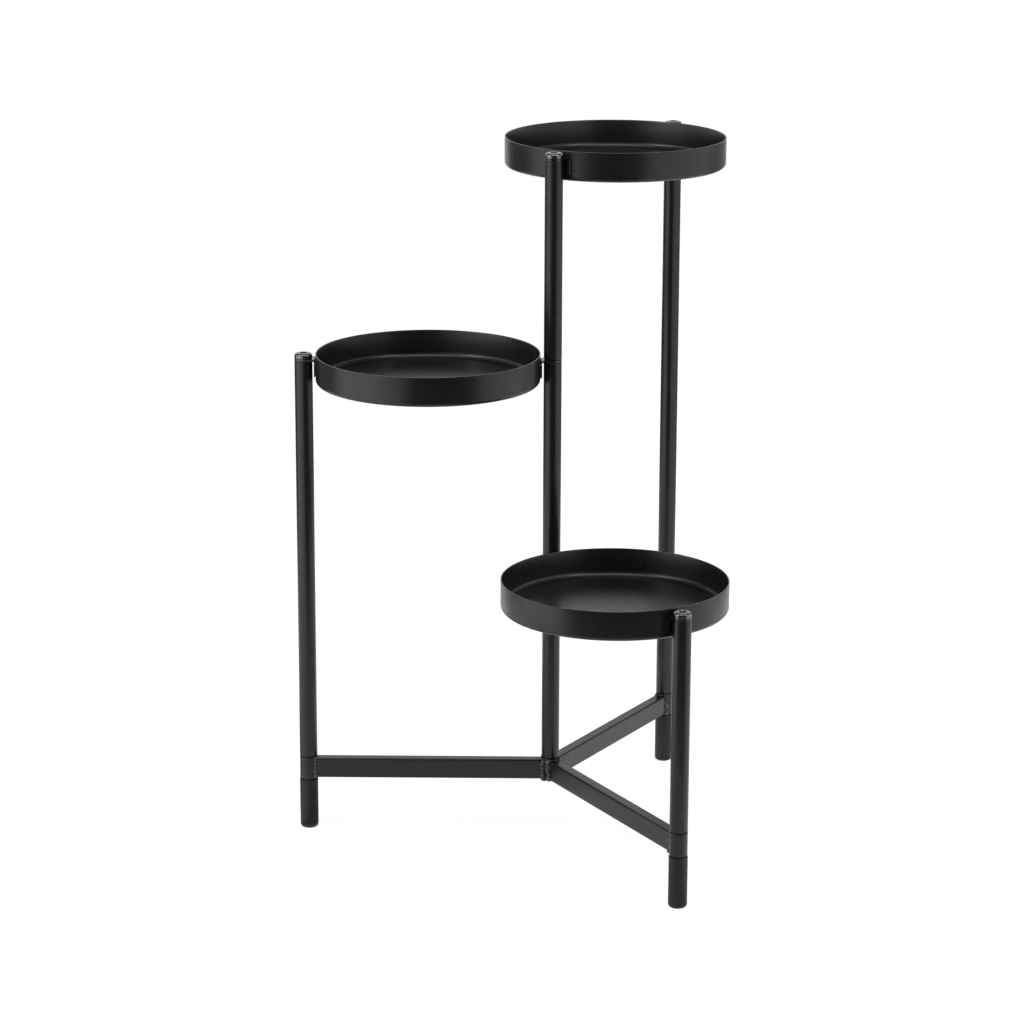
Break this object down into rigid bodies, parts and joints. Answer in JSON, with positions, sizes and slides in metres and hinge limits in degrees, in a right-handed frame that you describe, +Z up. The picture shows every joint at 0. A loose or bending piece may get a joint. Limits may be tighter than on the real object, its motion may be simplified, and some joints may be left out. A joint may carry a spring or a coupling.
{
  "type": "tiered plant stand",
  "caption": "Open steel-tube plant stand whose round lipped trays stand at stepped heights, each held between a leg and a shared post on a welded star base.",
  "frame": {"origin": "on the floor, under the middle of the stand's bounding box", "axes": "+Z up; the arm of the middle tray points along -X, the low tray's arm towards +X and -Y, the top tray's arm towards +X and +Y"},
  "size_m": [0.3564, 0.3704, 0.58],
  "materials": {
    "frame": "satin black powder coat",
    "tray": "satin black powder coat",
    "bracket": "satin black powder coat",
    "screw": "semi-gloss black plating",
    "foot": "satin black moulded",
    "inner_hardware": "zinc plated"
  },
  "bodies": {
    "root": {"hub_tube": "frame", "hub_screw": "screw", "bar_left": "frame", "collar_left": "frame", "leg_left": "frame", "foot_left": "foot", "foot_stud_left": "inner_hardware", "leg_bottom_insert_left": "inner_hardware", "leg_top_insert_left": "inner_hardware", "cap_screw_left": "screw", "tray_middle": "tray", "bracket_middle_leg": "bracket", "bracket_middle_post": "bracket", "bar_front": "frame", "collar_front": "frame", "leg_front": "frame", "foot_front": "foot", "foot_stud_front": "inner_hardware", "leg_bottom_insert_front": "inner_hardware", "leg_top_insert_front": "inner_hardware", "cap_screw_front": "screw", "tray_low": "tray", "bracket_low_leg": "bracket", "bracket_low_post": "bracket", "bar_rear": "frame", "collar_rear": "frame", "leg_rear": "frame", "foot_rear": "foot", "foot_stud_rear": "inner_hardware", "leg_bottom_insert_rear": "inner_hardware", "leg_top_insert_rear": "inner_hardware", "cap_screw_rear": "screw", "tray_top": "tray", "bracket_top_leg": "bracket", "bracket_top_post": "bracket", "post_lower": "frame", "post_lower_bottom_insert": "inner_hardware", "post_lower_top_insert": "inner_hardware", "post_middle": "frame", "post_middle_bottom_insert": "inner_hardware", "post_middle_top_insert": "inner_hardware", "post_upper": "frame", "post_upper_bottom_insert": "inner_hardware", "post_upper_top_insert": "inner_hardware", "post_stud_middle": "inner_hardware", "post_stud_upper": "inner_hardware", "cap_screw_post": "screw"}
  },
  "joints": []
}
